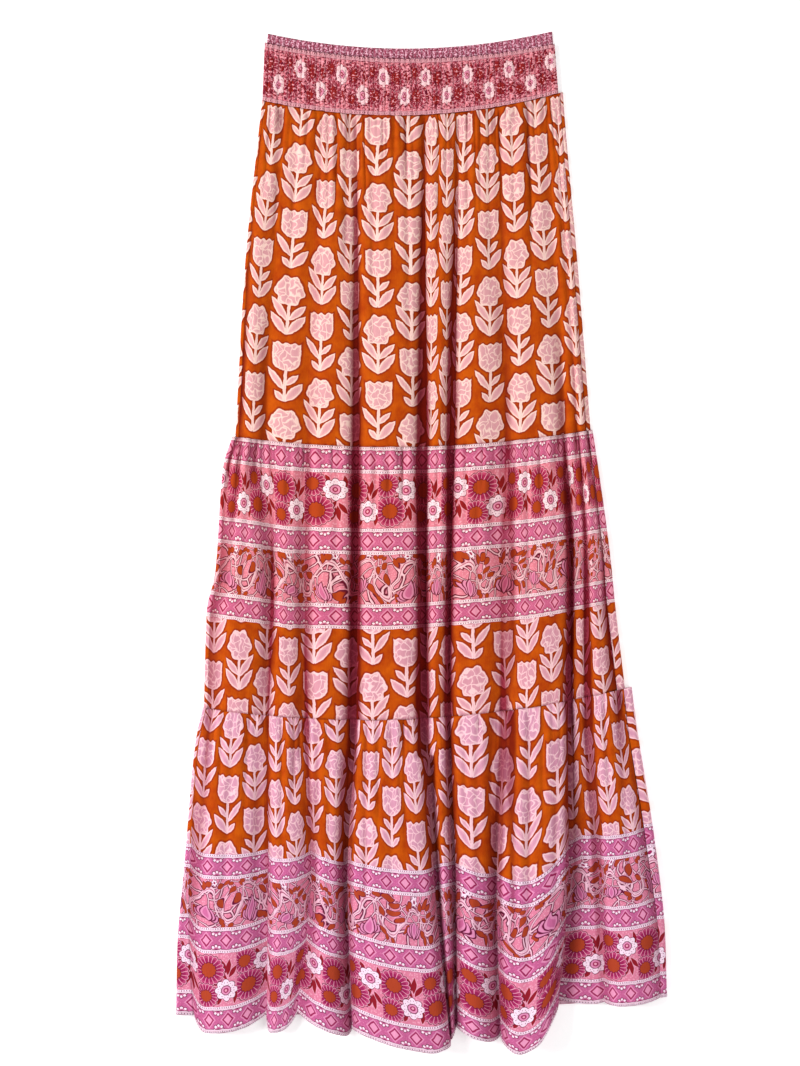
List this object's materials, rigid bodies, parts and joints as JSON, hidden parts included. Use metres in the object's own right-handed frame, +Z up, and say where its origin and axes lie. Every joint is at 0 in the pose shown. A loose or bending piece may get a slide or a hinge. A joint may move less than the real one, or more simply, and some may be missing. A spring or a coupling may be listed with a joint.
{
  "type": "maxi skirt",
  "caption": "Tiered maxi skirt lying flat, with a shirred waistband and gathered tiers whose front falls in long soft flutes down to a wavy hem.",
  "frame": {"origin": "middle of the laid skirt's outline, on the surface that it lies on", "axes": "+Y up the skirt towards the waistband, +X to the right seen from above, +Z up out of the surface"},
  "size_m": [0.5152, 1.0696, 0.0332],
  "materials": {
    "waistband": "shirred printed cotton over elastic thread, pink and red",
    "flower_cloth": "orange cotton voile printed with pale pink flowers",
    "border_cloth": "pink cotton voile border print over an orange flower field",
    "hem_cloth": "orange flower field over a pink border print at the hem, cotton voile"
  },
  "bodies": {
    "root": {"waistband_front": "waistband", "waistband_back": "waistband", "tier1_front": "flower_cloth", "tier1_back": "flower_cloth", "tier2_front": "border_cloth", "tier2_back": "border_cloth", "tier3_front": "hem_cloth", "tier3_back": "hem_cloth"}
  },
  "joints": []
}
